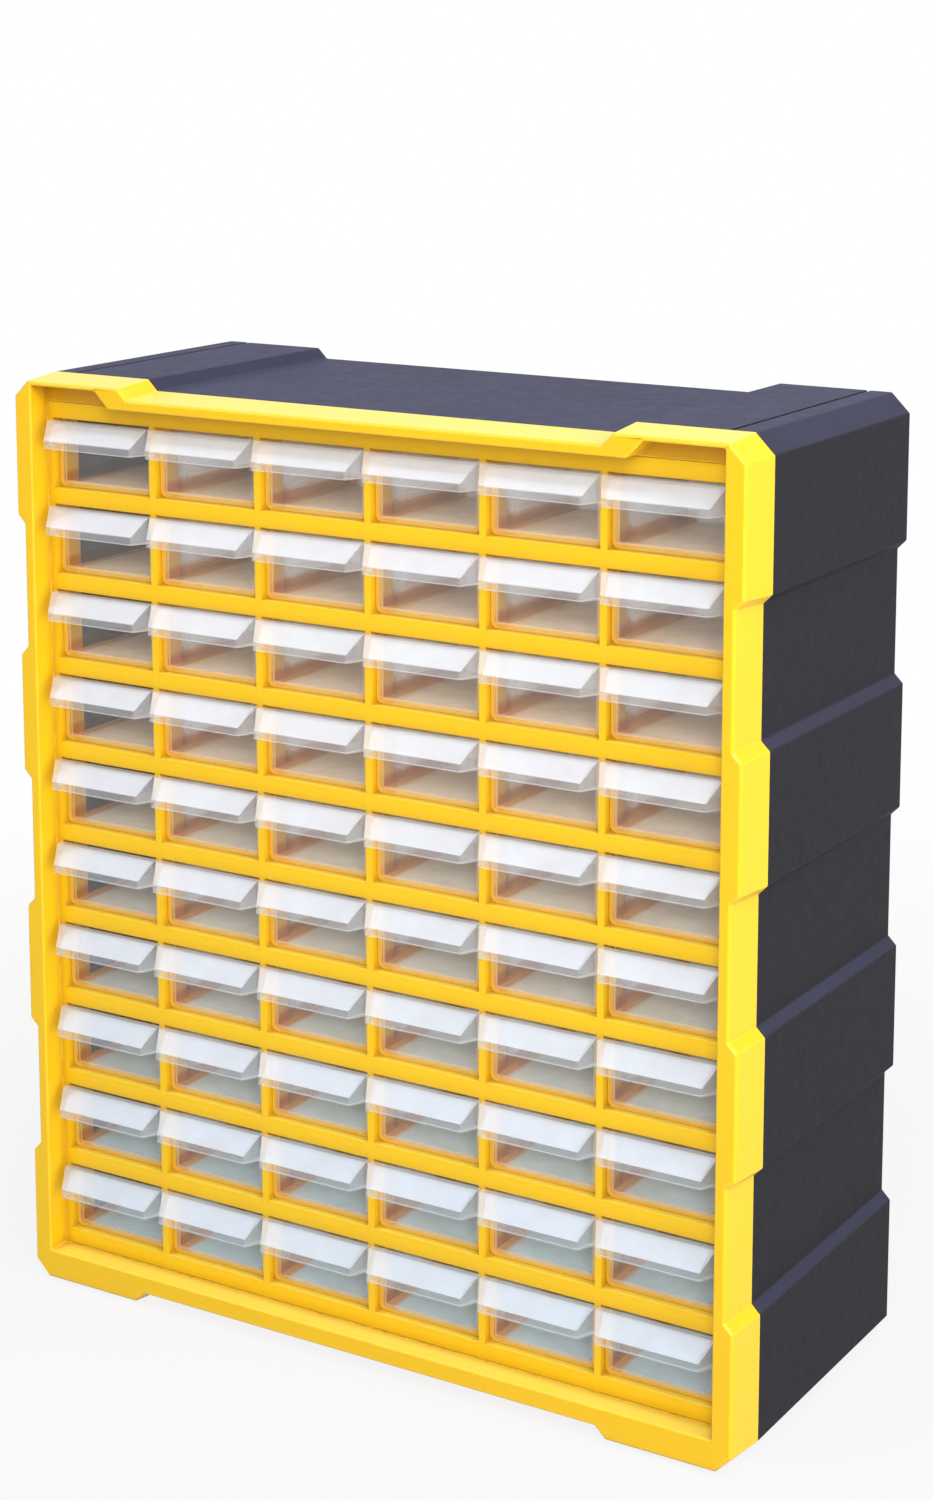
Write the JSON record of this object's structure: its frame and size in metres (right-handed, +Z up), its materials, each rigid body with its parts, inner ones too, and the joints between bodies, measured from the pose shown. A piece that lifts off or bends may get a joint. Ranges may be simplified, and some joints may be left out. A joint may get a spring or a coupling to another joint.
{
  "type": "parts cabinet",
  "caption": "Small-parts cabinet: stepped charcoal housing, yellow front frame and grid, and clear drawers with hood handles that each slide out.",
  "frame": {"origin": "on the floor under the middle of the cabinet", "axes": "+X to the right seen from the front, +Y towards the back, +Z up"},
  "size_m": [0.39, 0.165, 0.455],
  "materials": {
    "housing": "fine moulded texture, charcoal",
    "frame": "satin moulded yellow",
    "drawer": "clear polished"
  },
  "bodies": {
    "cabinet": {"housing": "housing", "front_frame": "frame", "grid": "frame"},
    "drawer_r01_c1": {"drawer_r01_c1": "drawer"},
    "drawer_r01_c2": {"drawer_r01_c2": "drawer"},
    "drawer_r01_c3": {"drawer_r01_c3": "drawer"},
    "drawer_r01_c4": {"drawer_r01_c4": "drawer"},
    "drawer_r01_c5": {"drawer_r01_c5": "drawer"},
    "drawer_r01_c6": {"drawer_r01_c6": "drawer"},
    "drawer_r02_c1": {"drawer_r02_c1": "drawer"},
    "drawer_r02_c2": {"drawer_r02_c2": "drawer"},
    "drawer_r02_c3": {"drawer_r02_c3": "drawer"},
    "drawer_r02_c4": {"drawer_r02_c4": "drawer"},
    "drawer_r02_c5": {"drawer_r02_c5": "drawer"},
    "drawer_r02_c6": {"drawer_r02_c6": "drawer"},
    "drawer_r03_c1": {"drawer_r03_c1": "drawer"},
    "drawer_r03_c2": {"drawer_r03_c2": "drawer"},
    "drawer_r03_c3": {"drawer_r03_c3": "drawer"},
    "drawer_r03_c4": {"drawer_r03_c4": "drawer"},
    "drawer_r03_c5": {"drawer_r03_c5": "drawer"},
    "drawer_r03_c6": {"drawer_r03_c6": "drawer"},
    "drawer_r04_c1": {"drawer_r04_c1": "drawer"},
    "drawer_r04_c2": {"drawer_r04_c2": "drawer"},
    "drawer_r04_c3": {"drawer_r04_c3": "drawer"},
    "drawer_r04_c4": {"drawer_r04_c4": "drawer"},
    "drawer_r04_c5": {"drawer_r04_c5": "drawer"},
    "drawer_r04_c6": {"drawer_r04_c6": "drawer"},
    "drawer_r05_c1": {"drawer_r05_c1": "drawer"},
    "drawer_r05_c2": {"drawer_r05_c2": "drawer"},
    "drawer_r05_c3": {"drawer_r05_c3": "drawer"},
    "drawer_r05_c4": {"drawer_r05_c4": "drawer"},
    "drawer_r05_c5": {"drawer_r05_c5": "drawer"},
    "drawer_r05_c6": {"drawer_r05_c6": "drawer"},
    "drawer_r06_c1": {"drawer_r06_c1": "drawer"},
    "drawer_r06_c2": {"drawer_r06_c2": "drawer"},
    "drawer_r06_c3": {"drawer_r06_c3": "drawer"},
    "drawer_r06_c4": {"drawer_r06_c4": "drawer"},
    "drawer_r06_c5": {"drawer_r06_c5": "drawer"},
    "drawer_r06_c6": {"drawer_r06_c6": "drawer"},
    "drawer_r07_c1": {"drawer_r07_c1": "drawer"},
    "drawer_r07_c2": {"drawer_r07_c2": "drawer"},
    "drawer_r07_c3": {"drawer_r07_c3": "drawer"},
    "drawer_r07_c4": {"drawer_r07_c4": "drawer"},
    "drawer_r07_c5": {"drawer_r07_c5": "drawer"},
    "drawer_r07_c6": {"drawer_r07_c6": "drawer"},
    "drawer_r08_c1": {"drawer_r08_c1": "drawer"},
    "drawer_r08_c2": {"drawer_r08_c2": "drawer"},
    "drawer_r08_c3": {"drawer_r08_c3": "drawer"},
    "drawer_r08_c4": {"drawer_r08_c4": "drawer"},
    "drawer_r08_c5": {"drawer_r08_c5": "drawer"},
    "drawer_r08_c6": {"drawer_r08_c6": "drawer"},
    "drawer_r09_c1": {"drawer_r09_c1": "drawer"},
    "drawer_r09_c2": {"drawer_r09_c2": "drawer"},
    "drawer_r09_c3": {"drawer_r09_c3": "drawer"},
    "drawer_r09_c4": {"drawer_r09_c4": "drawer"},
    "drawer_r09_c5": {"drawer_r09_c5": "drawer"},
    "drawer_r09_c6": {"drawer_r09_c6": "drawer"},
    "drawers_r10_c1_c2": {"drawers_r10_c1_c2": "drawer"},
    "drawers_r10_c3_c4": {"drawers_r10_c3_c4": "drawer"},
    "drawers_r10_c5_c6": {"drawers_r10_c5_c6": "drawer"}
  },
  "joints": [
    {"name": "slide_drawer_r01_c1", "type": "slide", "parent": "cabinet", "child": "drawer_r01_c1", "axis": [0, -1, 0], "range_m": [0, 0.11]},
    {"name": "slide_drawer_r01_c2", "type": "slide", "parent": "cabinet", "child": "drawer_r01_c2", "axis": [0, -1, 0], "range_m": [0, 0.11]},
    {"name": "slide_drawer_r01_c3", "type": "slide", "parent": "cabinet", "child": "drawer_r01_c3", "axis": [0, -1, 0], "range_m": [0, 0.11]},
    {"name": "slide_drawer_r01_c4", "type": "slide", "parent": "cabinet", "child": "drawer_r01_c4", "axis": [0, -1, 0], "range_m": [0, 0.11]},
    {"name": "slide_drawer_r01_c5", "type": "slide", "parent": "cabinet", "child": "drawer_r01_c5", "axis": [0, -1, 0], "range_m": [0, 0.11]},
    {"name": "slide_drawer_r01_c6", "type": "slide", "parent": "cabinet", "child": "drawer_r01_c6", "axis": [0, -1, 0], "range_m": [0, 0.11]},
    {"name": "slide_drawer_r02_c1", "type": "slide", "parent": "cabinet", "child": "drawer_r02_c1", "axis": [0, -1, 0], "range_m": [0, 0.11]},
    {"name": "slide_drawer_r02_c2", "type": "slide", "parent": "cabinet", "child": "drawer_r02_c2", "axis": [0, -1, 0], "range_m": [0, 0.11]},
    {"name": "slide_drawer_r02_c3", "type": "slide", "parent": "cabinet", "child": "drawer_r02_c3", "axis": [0, -1, 0], "range_m": [0, 0.11]},
    {"name": "slide_drawer_r02_c4", "type": "slide", "parent": "cabinet", "child": "drawer_r02_c4", "axis": [0, -1, 0], "range_m": [0, 0.11]},
    {"name": "slide_drawer_r02_c5", "type": "slide", "parent": "cabinet", "child": "drawer_r02_c5", "axis": [0, -1, 0], "range_m": [0, 0.11]},
    {"name": "slide_drawer_r02_c6", "type": "slide", "parent": "cabinet", "child": "drawer_r02_c6", "axis": [0, -1, 0], "range_m": [0, 0.11]},
    {"name": "slide_drawer_r03_c1", "type": "slide", "parent": "cabinet", "child": "drawer_r03_c1", "axis": [0, -1, 0], "range_m": [0, 0.11]},
    {"name": "slide_drawer_r03_c2", "type": "slide", "parent": "cabinet", "child": "drawer_r03_c2", "axis": [0, -1, 0], "range_m": [0, 0.11]},
    {"name": "slide_drawer_r03_c3", "type": "slide", "parent": "cabinet", "child": "drawer_r03_c3", "axis": [0, -1, 0], "range_m": [0, 0.11]},
    {"name": "slide_drawer_r03_c4", "type": "slide", "parent": "cabinet", "child": "drawer_r03_c4", "axis": [0, -1, 0], "range_m": [0, 0.11]},
    {"name": "slide_drawer_r03_c5", "type": "slide", "parent": "cabinet", "child": "drawer_r03_c5", "axis": [0, -1, 0], "range_m": [0, 0.11]},
    {"name": "slide_drawer_r03_c6", "type": "slide", "parent": "cabinet", "child": "drawer_r03_c6", "axis": [0, -1, 0], "range_m": [0, 0.11]},
    {"name": "slide_drawer_r04_c1", "type": "slide", "parent": "cabinet", "child": "drawer_r04_c1", "axis": [0, -1, 0], "range_m": [0, 0.11]},
    {"name": "slide_drawer_r04_c2", "type": "slide", "parent": "cabinet", "child": "drawer_r04_c2", "axis": [0, -1, 0], "range_m": [0, 0.11]},
    {"name": "slide_drawer_r04_c3", "type": "slide", "parent": "cabinet", "child": "drawer_r04_c3", "axis": [0, -1, 0], "range_m": [0, 0.11]},
    {"name": "slide_drawer_r04_c4", "type": "slide", "parent": "cabinet", "child": "drawer_r04_c4", "axis": [0, -1, 0], "range_m": [0, 0.11]},
    {"name": "slide_drawer_r04_c5", "type": "slide", "parent": "cabinet", "child": "drawer_r04_c5", "axis": [0, -1, 0], "range_m": [0, 0.11]},
    {"name": "slide_drawer_r04_c6", "type": "slide", "parent": "cabinet", "child": "drawer_r04_c6", "axis": [0, -1, 0], "range_m": [0, 0.11]},
    {"name": "slide_drawer_r05_c1", "type": "slide", "parent": "cabinet", "child": "drawer_r05_c1", "axis": [0, -1, 0], "range_m": [0, 0.11]},
    {"name": "slide_drawer_r05_c2", "type": "slide", "parent": "cabinet", "child": "drawer_r05_c2", "axis": [0, -1, 0], "range_m": [0, 0.11]},
    {"name": "slide_drawer_r05_c3", "type": "slide", "parent": "cabinet", "child": "drawer_r05_c3", "axis": [0, -1, 0], "range_m": [0, 0.11]},
    {"name": "slide_drawer_r05_c4", "type": "slide", "parent": "cabinet", "child": "drawer_r05_c4", "axis": [0, -1, 0], "range_m": [0, 0.11]},
    {"name": "slide_drawer_r05_c5", "type": "slide", "parent": "cabinet", "child": "drawer_r05_c5", "axis": [0, -1, 0], "range_m": [0, 0.11]},
    {"name": "slide_drawer_r05_c6", "type": "slide", "parent": "cabinet", "child": "drawer_r05_c6", "axis": [0, -1, 0], "range_m": [0, 0.11]},
    {"name": "slide_drawer_r06_c1", "type": "slide", "parent": "cabinet", "child": "drawer_r06_c1", "axis": [0, -1, 0], "range_m": [0, 0.11]},
    {"name": "slide_drawer_r06_c2", "type": "slide", "parent": "cabinet", "child": "drawer_r06_c2", "axis": [0, -1, 0], "range_m": [0, 0.11]},
    {"name": "slide_drawer_r06_c3", "type": "slide", "parent": "cabinet", "child": "drawer_r06_c3", "axis": [0, -1, 0], "range_m": [0, 0.11]},
    {"name": "slide_drawer_r06_c4", "type": "slide", "parent": "cabinet", "child": "drawer_r06_c4", "axis": [0, -1, 0], "range_m": [0, 0.11]},
    {"name": "slide_drawer_r06_c5", "type": "slide", "parent": "cabinet", "child": "drawer_r06_c5", "axis": [0, -1, 0], "range_m": [0, 0.11]},
    {"name": "slide_drawer_r06_c6", "type": "slide", "parent": "cabinet", "child": "drawer_r06_c6", "axis": [0, -1, 0], "range_m": [0, 0.11]},
    {"name": "slide_drawer_r07_c1", "type": "slide", "parent": "cabinet", "child": "drawer_r07_c1", "axis": [0, -1, 0], "range_m": [0, 0.11]},
    {"name": "slide_drawer_r07_c2", "type": "slide", "parent": "cabinet", "child": "drawer_r07_c2", "axis": [0, -1, 0], "range_m": [0, 0.11]},
    {"name": "slide_drawer_r07_c3", "type": "slide", "parent": "cabinet", "child": "drawer_r07_c3", "axis": [0, -1, 0], "range_m": [0, 0.11]},
    {"name": "slide_drawer_r07_c4", "type": "slide", "parent": "cabinet", "child": "drawer_r07_c4", "axis": [0, -1, 0], "range_m": [0, 0.11]},
    {"name": "slide_drawer_r07_c5", "type": "slide", "parent": "cabinet", "child": "drawer_r07_c5", "axis": [0, -1, 0], "range_m": [0, 0.11]},
    {"name": "slide_drawer_r07_c6", "type": "slide", "parent": "cabinet", "child": "drawer_r07_c6", "axis": [0, -1, 0], "range_m": [0, 0.11]},
    {"name": "slide_drawer_r08_c1", "type": "slide", "parent": "cabinet", "child": "drawer_r08_c1", "axis": [0, -1, 0], "range_m": [0, 0.11]},
    {"name": "slide_drawer_r08_c2", "type": "slide", "parent": "cabinet", "child": "drawer_r08_c2", "axis": [0, -1, 0], "range_m": [0, 0.11]},
    {"name": "slide_drawer_r08_c3", "type": "slide", "parent": "cabinet", "child": "drawer_r08_c3", "axis": [0, -1, 0], "range_m": [0, 0.11]},
    {"name": "slide_drawer_r08_c4", "type": "slide", "parent": "cabinet", "child": "drawer_r08_c4", "axis": [0, -1, 0], "range_m": [0, 0.11]},
    {"name": "slide_drawer_r08_c5", "type": "slide", "parent": "cabinet", "child": "drawer_r08_c5", "axis": [0, -1, 0], "range_m": [0, 0.11]},
    {"name": "slide_drawer_r08_c6", "type": "slide", "parent": "cabinet", "child": "drawer_r08_c6", "axis": [0, -1, 0], "range_m": [0, 0.11]},
    {"name": "slide_drawer_r09_c1", "type": "slide", "parent": "cabinet", "child": "drawer_r09_c1", "axis": [0, -1, 0], "range_m": [0, 0.11]},
    {"name": "slide_drawer_r09_c2", "type": "slide", "parent": "cabinet", "child": "drawer_r09_c2", "axis": [0, -1, 0], "range_m": [0, 0.11]},
    {"name": "slide_drawer_r09_c3", "type": "slide", "parent": "cabinet", "child": "drawer_r09_c3", "axis": [0, -1, 0], "range_m": [0, 0.11]},
    {"name": "slide_drawer_r09_c4", "type": "slide", "parent": "cabinet", "child": "drawer_r09_c4", "axis": [0, -1, 0], "range_m": [0, 0.11]},
    {"name": "slide_drawer_r09_c5", "type": "slide", "parent": "cabinet", "child": "drawer_r09_c5", "axis": [0, -1, 0], "range_m": [0, 0.11]},
    {"name": "slide_drawer_r09_c6", "type": "slide", "parent": "cabinet", "child": "drawer_r09_c6", "axis": [0, -1, 0], "range_m": [0, 0.11]},
    {"name": "slide_drawers_r10_c1_c2", "type": "slide", "parent": "cabinet", "child": "drawers_r10_c1_c2", "axis": [0, -1, 0], "range_m": [0, 0.11]},
    {"name": "slide_drawers_r10_c3_c4", "type": "slide", "parent": "cabinet", "child": "drawers_r10_c3_c4", "axis": [0, -1, 0], "range_m": [0, 0.11]},
    {"name": "slide_drawers_r10_c5_c6", "type": "slide", "parent": "cabinet", "child": "drawers_r10_c5_c6", "axis": [0, -1, 0], "range_m": [0, 0.11]}
  ]
}
